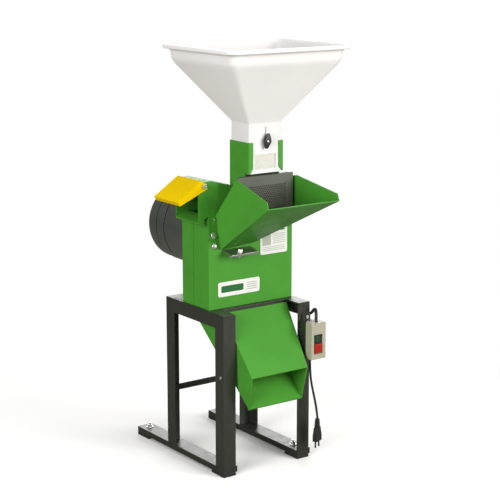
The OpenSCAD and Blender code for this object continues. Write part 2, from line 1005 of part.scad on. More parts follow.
// Its floor slopes at 45 degrees and ends in a narrow hem under the mouth
module outlet_chute() {
    top_z = stand_h - 10;
    back_y = body_back - 3;
    roof_top = [cross_rail_y - sheet_t / 2 - fit_gap, top_z];
    mouth_top = [-chute_reach, chute_mouth_z];
    mouth_low = [-chute_reach + chute_rake, chute_mouth_z - chute_drop];
    hem = mouth_low + [3, -4];
    back_low = [back_y, mouth_low[1] + back_y - mouth_low[0]];
    back_top = [back_y, stand_h - angle_t - sheet_t / 2 - fit_gap];
    color("limegreen")
        placed() {
            chute_panel(roof_top, mouth_top);
            chute_panel(hem, mouth_low);
            chute_panel(mouth_low, back_low);
            chute_panel(back_low, back_top);
            for (side = [-1, 1])
                sheet([for (p = [roof_top, mouth_top, mouth_low, back_low, back_top])
                    chute_point(side, p)]);
        }
}

// ---- motor ----

// Turned shape about the shaft, drawn as radius and distance behind the housing's back plate
module turned() {
    translate([0, body_back, shaft_z])
        rotate([-90, 0, 0])
            rotate_extrude($fn = 96)
                children();
}

module motor_front_flange() {
    color("dimgray")
        placed()
            difference() {
                turned()
                    polygon([[bearing_r + run_gap, 0], [motor_r - 4, 0], [motor_r - 4, bearing_l],
                        [bearing_r + run_gap, bearing_l]]);
                for (a = motor_bolt_angles)
                    rod(motor_bolt_ring * cos(a), shaft_z + motor_bolt_ring * sin(a),
                        motor_bolt_r + fit_gap, body_back - cut, body_back + bearing_l + cut);
            }
}

module motor_shell() {
    color("dimgray")
        placed()
            turned()
                translate([motor_r - shell_t, bearing_l])
                    square([shell_t, shell_l - bearing_l]);
}

cover_wall = 4;

// Bearing plate and sleeve, with a groove at each end and a spigot inside the fan cover
module motor_rear_shield() {
    spigot_l = 4;
    rear = shell_l + shield_l;
    root_r = shield_r - groove_depth;
    inner_r = cover_r - 8;
    color("dimgray")
        placed()
            turned()
                polygon([[bearing_r + run_gap, shell_l], [root_r, shell_l], [root_r, shell_l + groove_w],
                    [shield_r, shell_l + groove_w], [shield_r, rear - groove_w],
                    [cover_r - cover_wall, rear - groove_w], [cover_r - cover_wall, rear + spigot_l],
                    [inner_r, rear + spigot_l], [inner_r, shell_l + bearing_l + 1],
                    [bearing_r + run_gap, shell_l + bearing_l + 1]]);
}

// Bell over the cooling fan, with a rounded rim and slots in its end
module fan_cover() {
    front = shell_l + shield_l;
    round_r = 16;
    slots = 12;
    centre = [cover_r - round_r, motor_l - round_r];
    arc = [for (a = [0 : 15 : 90]) centre + round_r * [cos(a), sin(a)]];
    arc_in = [for (a = [90 : -15 : 0]) centre + (round_r - cover_wall) * [cos(a), sin(a)]];
    color("dimgray")
        placed()
            difference() {
                turned()
                    polygon(concat([[cover_r - cover_wall, front], [cover_r, front]], arc,
                        [[0, motor_l], [0, motor_l - cover_wall]], arc_in));
                for (i = [0 : slots - 1])
                    translate([0, body_back + motor_l, shaft_z])
                        rotate([0, i * 360 / slots, 0])
                            translate([-4, -8, 26])
                                cube([8, 16, 52]);
            }
}

module stator() {
    color("silver")
        placed()
            turned()
                translate([core_r + 1, core_y])
                    square([motor_r - shell_t - core_r - 1, core_l]);
}

module rotor_core() {
    color("silver")
        placed()
            turned()
                translate([shaft_r, core_y])
                    square([core_r - shaft_r, core_l]);
}

module motor_bearings() {
    color("silver")
        placed()
            for (y = [0, shell_l + 1])
                turned()
                    translate([shaft_r + run_gap, y])
                        square([bearing_r - shaft_r - run_gap, bearing_l]);
}

module motor_bolts() {
    color("silver")
        placed()
            for (a = motor_bolt_angles) {
                x = motor_bolt_ring * cos(a);
                z = shaft_z + motor_bolt_ring * sin(a);
                rod(x, z, motor_bolt_r, body_back - sheet_t - 4, body_back + bearing_l + 4);
                hex(x, z, 7, body_back - sheet_t - 5, body_back - sheet_t);
                hex(x, z, 7, body_back + bearing_l, body_back + bearing_l + 5);
            }
}

module cooling_fan() {
    blades = 8;
    color("black")
        placed() {
            turned()
                polygon([[shaft_r, 166], [30, 166], [30, 190], [shaft_r, 190]]);
            for (i = [0 : blades - 1])
                translate([0, body_back + 168, shaft_z])
                    rotate([0, i * 360 / blades, 0])
                        translate([-1.5, 0, 28])
                            cube([3, 20, 58]);
        }
}

// ---- rotor ----

module shaft() {
    color("silver")
        placed()
            rod(0, shaft_z, shaft_r, body_y + 6, body_back + 196);
}

// A bolt circle on the rotor, each place turned about the shaft
module around_shaft(angles) {
    for (a = angles)
        translate([0, 0, shaft_z])
            rotate([0, -a, 0])
                children();
}

pin_angles = [0, 90, 180, 270];
knife_angles = [45, 225];
knife_bolt_rs = [48, 76];

module rotor_hub() {
    color("firebrick")
        placed()
            difference() {
                union() {
                    rod(0, shaft_z, 26, hub_front, hub_back);
                    rod(0, shaft_z, disc_r, front_disc_y, front_disc_y + disc_t);
                    rod(0, shaft_z, disc_r, back_disc_y, back_disc_y + disc_t);
                }
                rod(0, shaft_z, shaft_r, hub_front - cut, hub_back + cut);
                around_shaft(pin_angles)
                    rod(pin_circle_r, 0, pin_r, front_disc_y - cut, hub_back + cut);
                around_shaft(knife_angles)
                    for (r = knife_bolt_rs)
                        rod(r, 0, 4 + fit_gap, front_disc_y - cut, front_disc_y + disc_t + cut);
            }
}

module knives() {
    color("gainsboro")
        placed()
            around_shaft(knife_angles)
                difference() {
                    slab(front_disc_y - knife_t, front_disc_y - run_gap)
                        polygon([[30, -knife_w / 2], [hammer_tip_r - 3, -knife_w / 2],
                            [hammer_tip_r - 3, knife_w / 2 - 8],
                            [hammer_tip_r - 12, knife_w / 2], [30, knife_w / 2]]);
                    for (r = knife_bolt_rs)
                        rod(r, 0, 4 + fit_gap, front_disc_y - knife_t - cut, front_disc_y + cut);
                }
}

module knife_bolts() {
    color("silver")
        placed()
            around_shaft(knife_angles)
                for (r = knife_bolt_rs) {
                    rod(r, 0, 4, front_disc_y - knife_t - 1, front_disc_y + disc_t + 5);
                    hex(r, 0, 7, front_disc_y + disc_t, front_disc_y + disc_t + 5);
                    rod(r, 0, 6.5, front_disc_y - knife_t - 2.5, front_disc_y - knife_t);
                }
}

module hammer_pins() {
    color("silver")
        placed()
            around_shaft(pin_angles)
                rod(pin_circle_r, 0, pin_r, front_disc_y - 3, back_disc_y + disc_t + 3);
}

// Three hammers that swing on one pin, drawn for the pin at the given angle
module hammer_set(a) {
    inner = hammer_w / 2;
    around_shaft([a])
        for (i = [0 : 2]) {
            y = front_disc_y + disc_t + hammer_gap + i * (hammer_t + hammer_gap);
            difference() {
                union() {
                    rod(pin_circle_r, 0, inner, y, y + hammer_t);
                    translate([pin_circle_r, y, -inner])
                        cube([hammer_tip_r - pin_circle_r, hammer_t, hammer_w]);
                }
                rod(pin_circle_r, 0, pin_r + run_gap, y - cut, y + hammer_t + cut);
            }
        }
}

module hammers_right() {
    color("gray")
        placed()
            hammer_set(pin_angles[0]);
}

module hammers_top() {
    color("gray")
        placed()
            hammer_set(pin_angles[1]);
}

module hammers_left() {
    color("gray")
        placed()
            hammer_set(pin_angles[2]);
}

module hammers_bottom() {
    color("gray")
        placed()
            hammer_set(pin_angles[3]);
}

module shaft_nut() {
    color("silver")
        placed()
            difference() {
                hex(0, shaft_z, 18, hub_front - 8, hub_front);
                rod(0, shaft_z, shaft_r, hub_front - 8 - cut, hub_front + cut);
            }
}

// ---- switch ----

bracket_bolt_x = 136;
bracket_bolt_z = 417;
bracket_t = 3;

// Channel that holds the box out in front of the leg, with an ear above it
module switch_bracket() {
    bracket_w = 38;
    color("dimgray")
        placed()
            difference() {
                union() {
                    translate([switch_x, switch_back, switch_z])
                        cube([bracket_w, -switch_back, switch_h]);
                    translate([switch_x + 6, -bracket_t, switch_z + switch_h - 2])
                        cube([bracket_w - 8, bracket_t, 18]);
                }
                translate([switch_x + 2, switch_back + 2, switch_z - cut])
                    cube([bracket_w - 4, -switch_back - 4, switch_h - 10]);
                rod(bracket_bolt_x, bracket_bolt_z, leg_screw_r + fit_gap, -bracket_t - cut, cut);
            }
}

module switch_box() {
    color("ivory")
        placed()
            difference() {
                translate([switch_x, switch_front + cover_t, switch_z])
                    cube([switch_w, switch_back - switch_front - cover_t, switch_h]);
                translate([switch_x + 3, switch_front + cover_t - cut, switch_z + 3])
                    cube([switch_w - 6, switch_back - switch_front - cover_t - 3 + cut, switch_h - 6]);
                translate([motor_cable_points[0][0], motor_cable_points[0][1], switch_z + switch_h - 4])
                    cylinder(r = cable_r + fit_gap, h = 6);
                translate([power_cord_points[0][0], power_cord_points[0][1], switch_z - 2])
                    cylinder(r = cord_r + fit_gap, h = 6);
            }
}

button_guide_gap = 0.3;

// Lid with a sunk window, and the guide plate for the buttons behind it
module switch_cover() {
    color("ivory")
        placed()
            difference() {
                union() {
                    translate([switch_x, switch_front, switch_z])
                        cube([switch_w, cover_t, switch_h]);
                    translate([switch_x + 5, switch_front + cover_t, switch_z + 12])
                        cube([switch_w - 10, 3, switch_h - 40]);
                }
                translate([button_x - 15, switch_front - cut, switch_z + 15])
                    cube([30, 5 + cut, 56]);
                rod(button_x, start_z, start_r + button_guide_gap, switch_front - cut, switch_front + 12);
                translate([button_x - stop_w / 2 - button_guide_gap, switch_front - cut,
                    stop_z - stop_w / 2 - button_guide_gap])
                    cube([stop_w + 2 * button_guide_gap, 14, stop_w + 2 * button_guide_gap]);
            }
}

module start_button() {
    color("darkgreen")
        placed() {
            rod(button_x, start_z, start_r, switch_front + 1, switch_front + 14);
            rod(button_x, start_z, start_r - 3, switch_front + 13, switch_front + 17);
        }
}

module stop_button() {
    color("red")
        placed()
            translate([button_x - stop_w / 2, switch_front - 3, stop_z - stop_w / 2])
                cube([stop_w, 17, stop_w]);
}

module switch_screws() {
    color("gray")
        placed()
            for (p = [[switch_x + 7, switch_z + switch_h - 8], [switch_x + switch_w - 6, switch_z + 8]])
                rod(p[0], p[1], 2.5, switch_front - 0.5, switch_front);
}

cable_r = 4.5;
cord_r = 3.2;
motor_cable_points = [[139, -40, switch_z + switch_h - 2], [139, -40, 420], [143, -36, 436], [149, -24, 443],
    [154, -10, 436], [155, 4, 424], [154, 40, 416], [154, 270, 416], [152, 310, 440], [138, 318, 520],
    [122, 318, 590], [motor_r + 2.2, 318, 620]];
power_cord_points = [[119, -40, switch_z + 2], [119, -40, 290], [121, -40, 262], [124, -40, 238], [130, -40, 212],
    [137, -40, 184], [143, -40, 156], [147, -40, 128]];
plug_x = 147;
plug_y = -40;
plug_top = 126;
plug_body_top = 100;
plug_body_bottom = 60;
plug_pin_r = 2.4;
plug_pin_l = 19;
plug_pin_pitch = 19;
plug_turn = 22;

module motor_cable() {
    color("black")
        placed()
            cable(motor_cable_points, cable_r);
}

module power_cord() {
    color("black")
        placed()
            cable(power_cord_points, cord_r);
}

// Moulded plug hanging on its cord, with ribbed strain relief and two round pins
module plug() {
    color("black")
        placed()
            translate([plug_x, plug_y, 0])
                rotate([0, 0, plug_turn]) {
                    difference() {
                        union() {
                            translate([0, 0, plug_body_top - 1])
                                cylinder(r1 = 7, r2 = 5, h = plug_top - plug_body_top + 1);
                            for (z = [plug_body_top + 2 : 5 : plug_top - 2])
                                translate([0, 0, z])
                                    cylinder(r = 9 - (z - plug_body_top) / 10, h = 2.5);
                        }
                        translate([0, 0, plug_top - 4])
                            cylinder(r = cord_r + fit_gap, h = 6);
                    }
                    hull() {
                        translate([-9, -6, plug_body_top - 2])
                            cube([18, 12, 2]);
                        translate([-14, -7, plug_body_bottom])
                            cube([28, 14, 16]);
                    }
                    for (s = [-1, 1])
                        translate([s * plug_pin_pitch / 2, 0, plug_body_bottom - plug_pin_l])
                            cylinder(r = plug_pin_r, h = plug_pin_l + 5);
                }
}

leg_front_left();
leg_front_right();
leg_rear_left();
leg_rear_right();
top_rail_left();
top_rail_right();
top_rail_rear();
front_cross_rail();
rear_brace();
foot_bar_left();
foot_bar_right();
rubber_feet();
foot_bolts();
leg_screws();
front_cover();
rear_housing();
outlet_hood();
cover_bolts();
sieve();
counter_knife();
counter_knife_bolt();
feed_trough();
trough_rivets();
guard_screen();
hopper_neck();
hopper();
gate_plate();
gate_stud();
gate_knob();
deflector();
deflector_bolts();
outlet_chute();
motor_front_flange();
motor_shell();
motor_rear_shield();
fan_cover();
stator();
motor_bolts();
shaft();
rotor_core();
motor_bearings();
cooling_fan();
rotor_hub();
knives();
knife_bolts();
hammer_pins();
hammers_right();
hammers_top();
hammers_left();
hammers_bottom();
shaft_nut();
switch_bracket();
switch_box();
switch_cover();
start_button();
stop_button();
switch_screws();
motor_cable();
power_cord();
plug();
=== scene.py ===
"""Looks of the electric forage hammer mill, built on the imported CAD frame."""

import json
import math

import bmesh
import bpy
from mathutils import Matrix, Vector


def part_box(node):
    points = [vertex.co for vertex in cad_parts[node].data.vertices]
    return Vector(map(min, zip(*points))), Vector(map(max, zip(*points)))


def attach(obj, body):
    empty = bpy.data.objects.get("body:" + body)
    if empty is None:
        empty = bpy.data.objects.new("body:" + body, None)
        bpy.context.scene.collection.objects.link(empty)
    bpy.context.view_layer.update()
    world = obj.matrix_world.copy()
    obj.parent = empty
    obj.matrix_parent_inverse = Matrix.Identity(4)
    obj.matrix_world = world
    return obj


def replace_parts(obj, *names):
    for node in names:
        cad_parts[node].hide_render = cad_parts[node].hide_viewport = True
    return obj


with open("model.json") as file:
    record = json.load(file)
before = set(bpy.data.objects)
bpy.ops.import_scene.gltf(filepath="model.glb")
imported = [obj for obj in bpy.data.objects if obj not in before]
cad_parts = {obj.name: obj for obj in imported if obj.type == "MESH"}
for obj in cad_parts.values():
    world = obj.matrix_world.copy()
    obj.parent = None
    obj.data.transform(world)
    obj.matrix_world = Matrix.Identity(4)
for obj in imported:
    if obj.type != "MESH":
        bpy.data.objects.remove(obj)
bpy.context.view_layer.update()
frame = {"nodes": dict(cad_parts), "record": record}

# ---------------------------------------------------------------- working frame
# Lengths below are millimetres in the machine's working frame: x from the centre plane,
# y backwards from the stand's front, z up from the floor. at() turns them into metres in the row frame.
STAND_HALF_WIDTH = 147.5
ORIGIN_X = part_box("leg_front_left")[0].x + STAND_HALF_WIDTH / 1000
ORIGIN_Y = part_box("leg_front_left")[0].y


def at(x, y, z):
    return Vector((x / 1000 + ORIGIN_X, y / 1000 + ORIGIN_Y, z / 1000))


# ---------------------------------------------------------------- materials
def new_material(name):
    mat = bpy.data.materials.new(name)
    mat.use_nodes = True
    tree = mat.node_tree
    shader = tree.nodes["Principled BSDF"]
    return mat, tree, shader


def coords(tree, scale=(1, 1, 1)):
    """Object coordinates, scaled along each axis."""
    tex = tree.nodes.new("ShaderNodeTexCoord")
    mapping = tree.nodes.new("ShaderNodeMapping")
    mapping.inputs["Scale"].default_value = scale
    tree.links.new(tex.outputs["Object"], mapping.inputs["Vector"])
    return mapping.outputs["Vector"]


def noise(tree, vector, scale, detail=4.0, roughness=0.55):
    node = tree.nodes.new("ShaderNodeTexNoise")
    node.inputs["Scale"].default_value = scale
    node.inputs["Detail"].default_value = detail
    node.inputs["Roughness"].default_value = roughness
    tree.links.new(vector, node.inputs["Vector"])
    return node.outputs["Fac"]


def spread(tree, value, low, high, from_low=0.3, from_high=0.7):
    """Maps a 0..1 value onto low..high."""
    node = tree.nodes.new("ShaderNodeMapRange")
    node.inputs["From Min"].default_value = from_low
    node.inputs["From Max"].default_value = from_high
    node.inputs["To Min"].default_value = low
    node.inputs["To Max"].default_value = high
    tree.links.new(value, node.inputs["Value"])
    return node.outputs["Result"]


def two_tone(tree, value, dark, light):
    ramp = tree.nodes.new("ShaderNodeValToRGB")
    ramp.color_ramp.elements[0].position = 0.3
    ramp.color_ramp.elements[0].color = (*dark, 1)
    ramp.color_ramp.elements[1].position = 0.7
    ramp.color_ramp.elements[1].color = (*light, 1)
    tree.links.new(value, ramp.inputs["Fac"])
    return ramp.outputs["Color"]


def bump(tree, shader, height, strength, distance=0.001):
    node = tree.nodes.new("ShaderNodeBump")
    node.inputs["Strength"].default_value = strength
    node.inputs["Distance"].default_value = distance
    tree.links.new(height, node.inputs["Height"])
    tree.links.new(node.outputs["Normal"], shader.inputs["Normal"])


def shade(color, factor):
    return tuple(min(1.0, c * factor) for c in color)


def painted(name, color, roughness=0.45, specular=0.25, vary=0.06, peel=0.12, grain=900.0):
    """Powder-coated metal: slight cloudiness, an orange-peel skin and uneven gloss."""
    mat, tree, shader = new_material(name)
    where = coords(tree)
    cloud = two_tone(tree, noise(tree, where, 14.0), shade(color, 1 - vary), shade(color, 1 + vary))
    tree.links.new(cloud, shader.inputs["Base Color"])
    gloss = spread(tree, noise(tree, where, 60.0), roughness - 0.05, roughness + 0.06)
    tree.links.new(gloss, shader.inputs["Roughness"])
    shader.inputs["Specular IOR Level"].default_value = specular
    bump(tree, shader, noise(tree, where, grain, 2.0), peel, 0.0004)
    return mat


def metal(name, color, roughness=0.35, streak=(1, 1, 1), vary=0.12, grain=500.0):
    """Bare or plated metal with fine brushing."""
    mat, tree, shader = new_material(name)
    where = coords(tree, streak)
    brushed = two_tone(tree, noise(tree, where, 40.0), shade(color, 1 - vary), shade(color, 1 + vary))
    tree.links.new(brushed, shader.inputs["Base Color"])
    gloss = spread(tree, noise(tree, where, grain), roughness - 0.1, roughness + 0.12)
    tree.links.new(gloss, shader.inputs["Roughness"])
    shader.inputs["Metallic"].default_value = 1.0
    bump(tree, shader, noise(tree, where, grain, 3.0), 0.12, 0.0003)
    return mat


def plastic(name, color, roughness=0.4, vary=0.03, specular=0.3, soft=0.0, peel=0.08):
    """Moulded plastic or rubber, with a faint skin."""
    mat, tree, shader = new_material(name)
    where = coords(tree)
    cloud = two_tone(tree, noise(tree, where, 9.0), shade(color, 1 - vary), shade(color, 1 + vary))
    tree.links.new(cloud, shader.inputs["Base Color"])
    gloss = spread(tree, noise(tree, where, 35.0), roughness - 0.05, roughness + 0.07)
    tree.links.new(gloss, shader.inputs["Roughness"])
    shader.inputs["Specular IOR Level"].default_value = specular
    if soft:
        shader.inputs["Subsurface Weight"].default_value = soft
        shader.inputs["Subsurface Radius"].default_value = (0.02, 0.018, 0.014)
        shader.inputs["Subsurface Scale"].default_value = 0.3
    bump(tree, shader, noise(tree, where, 700.0, 2.0), peel, 0.0003)
    return mat


def galvanised(name, color):
    """Zinc sheet with its crystal spangle."""
    mat, tree, shader = new_material(name)
    where = coords(tree)
    cells = tree.nodes.new("ShaderNodeTexVoronoi")
    cells.inputs["Scale"].default_value = 260.0
    tree.links.new(where, cells.inputs["Vector"])
    grey = tree.nodes.new("ShaderNodeRGBToBW")
    tree.links.new(cells.outputs["Color"], grey.inputs["Color"])
    spangle = two_tone(tree, grey.outputs["Val"], shade(color, 0.93), shade(color, 1.05))
    tree.links.new(spangle, shader.inputs["Base Color"])
    tree.links.new(spread(tree, grey.outputs["Val"], 0.35, 0.55, 0, 1), shader.inputs["Roughness"])
    shader.inputs["Metallic"].default_value = 0.4
    bump(tree, shader, noise(tree, where, 400.0), 0.08, 0.0003)
    return mat


MATERIALS = {
    "green_paint": painted("green_paint", (0.052, 0.238, 0.024), 0.42, 0.16),
    "stand_paint": painted("stand_paint", (0.017, 0.019, 0.014), 0.38, 0.5, 0.10, 0.25),
    "motor_paint": painted("motor_paint", (0.046, 0.051, 0.044), 0.36, 0.5, 0.08, 0.25),
    "yellow_paint": painted("yellow_paint", (0.66, 0.455, 0.0), 0.55, 0.02, 0.03),
    "guard_paint": painted("guard_paint", (0.090, 0.094, 0.080), 0.45, 0.25, 0.08, 0.2),
    "rotor_paint": painted("rotor_paint", (0.30, 0.04, 0.03)),
    "zinc": metal("zinc", (0.62, 0.61, 0.60), 0.30),
    "steel": metal("steel", (0.46, 0.45, 0.43), 0.36, (1, 6, 1)),
    "gate_zinc": galvanised("gate_zinc", (0.46, 0.45, 0.42)),
    "rubber": plastic("rubber", (0.018, 0.018, 0.018), 0.7, 0.15, peel=0.3),
    "hopper_plastic": plastic("hopper_plastic", (0.66, 0.65, 0.66), 0.42, 0.015, soft=0.1),
    "black_plastic": plastic("black_plastic", (0.014, 0.014, 0.014), 0.38, 0.15),
    "box_plastic": plastic("box_plastic", (0.33, 0.32, 0.25), 0.42, 0.03),
    "start_plastic": plastic("start_plastic", (0.010, 0.035, 0.016), 0.28, 0.1, 0.5),
    "stop_plastic": plastic("stop_plastic", (0.30, 0.012, 0.006), 0.30, 0.05),
    "cable_rubber": plastic("cable_rubber", (0.016, 0.016, 0.017), 0.45, 0.15, peel=0.2),
}


# ---------------------------------------------------------------- CAD nodes
# Width in millimetres of the rounded edge on each node; the rest take EDGE.
EDGE = 0.6
EDGES = {
    "front_cover": 2.0, "rear_housing": 2.0, "outlet_hood": 1.2, "hopper_neck": 1.4, "feed_trough": 0.8,
    "outlet_chute": 0.8, "deflector": 1.0, "switch_box": 2.0, "switch_cover": 1.2, "gate_knob": 2.0,
    "stop_button": 1.2, "start_button": 0.8, "plug": 1.5, "rubber_feet": 1.0, "leg_front_left": 1.2,
    "leg_front_right": 1.2, "leg_rear_left": 1.2, "leg_rear_right": 1.2, "foot_bar_left": 1.0,
    "foot_bar_right": 1.0, "top_rail_left": 1.0, "top_rail_right": 1.0, "top_rail_rear": 1.0,
    "front_cross_rail": 1.0, "rear_brace": 0.8, "switch_bracket": 0.8, "cover_bolts": 0.6,
}


def round_edges(obj, width_mm, segments=3, angle=35):
    """Rounds an object's sharp edges, so that they catch the light as bent or moulded edges do."""
    weld = obj.modifiers.new("weld", "WELD")
    weld.merge_threshold = 0.00002
    flat = obj.modifiers.new("flat", "DECIMATE")
    flat.decimate_type = "DISSOLVE"
    flat.angle_limit = math.radians(0.6)
    bevel = obj.modifiers.new("edges", "BEVEL")
    bevel.width = width_mm / 1000
    bevel.segments = segments
    bevel.limit_method = "ANGLE"
    bevel.angle_limit = math.radians(angle)
    bevel.harden_normals = True
    bevel.use_clamp_overlap = True


def dress_frame():
    slots = {s["node"]: s["material_slot"] for s in frame["record"]["subparts"]}
    for name, obj in frame["nodes"].items():
        mesh = obj.data
        mesh.materials.clear()
        mesh.materials.append(MATERIALS[slots[name]])
        if "custom_normal" in mesh.attributes:
            mesh.attributes.remove(mesh.attributes["custom_normal"])
        mesh.polygons.foreach_set("use_smooth", [True] * len(mesh.polygons))
        round_edges(obj, EDGES.get(name, EDGE))


# ---------------------------------------------------------------- building pieces
SMOOTH_DEG = 35


def piece(name, verts, faces, material, body, smooth_deg=SMOOTH_DEG):
    """A mesh object made from points in the row frame, riding on a CAD body."""
    mesh = bpy.data.meshes.new(name)
    mesh.from_pydata([tuple(v) for v in verts], [], faces)
    mesh.validate()
    tidy = bmesh.new()
    tidy.from_mesh(mesh)
    bmesh.ops.remove_doubles(tidy, verts=tidy.verts, dist=1e-6)
    bmesh.ops.recalc_face_normals(tidy, faces=tidy.faces)
    tidy.to_mesh(mesh)
    tidy.free()
    mesh.materials.append(MATERIALS[material] if isinstance(material, str) else material)
    mesh.polygons.foreach_set("use_smooth", [True] * len(mesh.polygons))
    mesh.set_sharp_from_angle(angle=math.radians(smooth_deg))
    obj = bpy.data.objects.new(name, mesh)
    bpy.context.scene.collection.objects.link(obj)
    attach(obj, body)
    return obj


def box_points(x0, y0, z0, x1, y1, z1):
    return [at(x, y, z) for z in (z0, z1) for y in (y0, y1) for x in (x0, x1)]


BOX_FACES = [(0, 2, 3, 1), (4, 5, 7, 6), (0, 1, 5, 4), (2, 6, 7, 3), (0, 4, 6, 2), (1, 3, 7, 5)]
PRISM_FACES = [(3, 2, 1, 0), (4, 5, 6, 7), (0, 1, 5, 4), (1, 2, 6, 5), (2, 3, 7, 6), (3, 0, 4, 7)]


def cut_away(obj, cutters):
    """Cuts boxes, given as two corners in the working frame, out of a piece."""
    for corners in cutters:
        mesh = bpy.data.meshes.new("cutter")
        mesh.from_pydata([tuple(v) for v in box_points(*corners)], [], BOX_FACES)
        tool = bpy.data.objects.new("cutter", mesh)
        bpy.context.scene.collection.objects.link(tool)
        cutter = obj.modifiers.new("cut", "BOOLEAN")
        cutter.object = tool
        cutter.solver = "EXACT"
        bpy.context.view_layer.update()
        done = bpy.data.meshes.new_from_object(obj.evaluated_get(bpy.context.evaluated_depsgraph_get()))
        obj.modifiers.clear()
        obj.data = done
        bpy.data.objects.remove(tool)
    obj.data.set_sharp_from_angle(angle=math.radians(SMOOTH_DEG))


def rounded_ring(half_x, half_y, corner, z, centre_y, per_corner=10):
    """Points round a rectangle with rounded corners."""
    points = []
    for quarter, (sx, sy) in enumerate(((1, 1), (-1, 1), (-1, -1), (1, -1))):
        for i in range(per_corner + 1):
            a = math.radians(90 * quarter + 90 * i / per_corner)
            x = sx * (half_x - corner) + corner * math.cos(a)
            y = sy * (half_y - corner) + corner * math.sin(a)
            points.append(at(x, centre_y + y, z))
    return points


def loft(rings, closed=True):
    """Faces between successive rings of equal length, and back to the first when closed."""
    count = len(rings[0])
    verts = [p for ring in rings for p in ring]
    faces = []
    pairs = [(i, i + 1) for i in range(len(rings) - 1)]
    if closed:
        pairs.append((len(rings) - 1, 0))
    for a, b in pairs:
        for i in range(count):
            j = (i + 1) % count
            faces.append((a * count + i, a * count + j, b * count + j, b * count + i))
    return verts, faces


def tube(points, radius, around=16, steps=10):
    """A round cable that runs smoothly through points of the working frame."""
    path = []
    spots = [Vector(p) for p in points]
    padded = [2 * spots[0] - spots[1]] + spots + [2 * spots[-1] - spots[-2]]
    for i in range(1, len(padded) - 2):
        p0, p1, p2, p3 = padded[i - 1:i + 3]
        for k in range(steps):
            t = k / steps
            path.append(0.5 * ((2 * p1) + (p2 - p0) * t + (2 * p0 - 5 * p1 + 4 * p2 - p3) * t * t
                               + (3 * p1 - p0 - 3 * p2 + p3) * t * t * t))
    path.append(spots[-1])
    rings = []
    side = Vector((1, 0, 0))
    for i, p in enumerate(path):
        along = (path[min(i + 1, len(path) - 1)] - path[max(i - 1, 0)]).normalized()
        side = (side - along * side.dot(along)).normalized()
        other = along.cross(side)
        rings.append([at(*(p + radius * (math.cos(a) * side + math.sin(a) * other)))
                      for a in (2 * math.pi * k / around for k in range(around))])
    verts, faces = loft(rings, closed=False)
    faces.append(tuple(range(around))[::-1])
    faces.append(tuple(range(len(verts) - around, len(verts))))
    return verts, faces


# ---------------------------------------------------------------- hopper
HOPPER_Y = 52.5


def build_hopper():
    """White hopper: a straight neck, a flared bowl, a skirt and a rolled rim, then the spout lip."""
    # half width, half depth, corner radius and height of each ring
    outside = [
        (54.7, 41.7, 3, 837), (54.7, 41.7, 4, 971), (56, 43, 6, 975), (176, 142, 20, 1127),
        (181.5, 147, 21, 1136), (184.5, 149.6, 22, 1143), (185, 150, 22, 1150), (186, 151, 22, 1160),
        (188.5, 153.5, 23, 1165), (193, 158, 24, 1167.6), (200, 165, 24, 1168), (201.5, 166.5, 24, 1169.4),
        (202, 167, 24, 1172), (202, 167, 24, 1175.4), (201.2, 166.2, 24, 1178), (199, 164, 24, 1179)]
    inside = [
        (190, 155, 22, 1179), (187, 152, 21, 1177.6), (184, 149, 20, 1173), (182.5, 147.5, 19, 1166),
        (181.5, 146.5, 19, 1150), (178, 143, 19, 1140), (171, 137, 18, 1129), (53, 40, 5, 977),
        (51.7, 38.7, 4, 973), (51.7, 38.7, 2.5, 837)]
    rings = [rounded_ring(hx, hy, corner, z, HOPPER_Y) for hx, hy, corner, z in outside + inside]
    verts, faces = loft(rings)
    shell = piece("hopper_shell", verts, faces, "hopper_plastic", "frame", 40)
    window = (-35, 0, 845, 35, 16, 888)
    stud_slot = (-3.5, 0, 920.5, 3.5, 18, 961.5)
    cut_away(shell, [window, stud_slot])
    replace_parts(shell, "hopper")
    # the lip leans out under the window, in front of the neck's flanges
    lip = []
    for half_x, y, z in ((39, 13.6, 847), (39, 10.4, 848), (52.5, 4.2, 838), (52.5, 6.6, 837)):
        lip += [at(-half_x, y, z), at(half_x, y, z)]
    lip_faces = [(0, 1, 3, 2), (2, 3, 5, 4), (4, 5, 7, 6), (6, 7, 1, 0), (0, 2, 4, 6), (1, 7, 5, 3)]
    round_edges(piece("hopper_spout_lip", lip, lip_faces, "hopper_plastic", "frame"), 0.5)


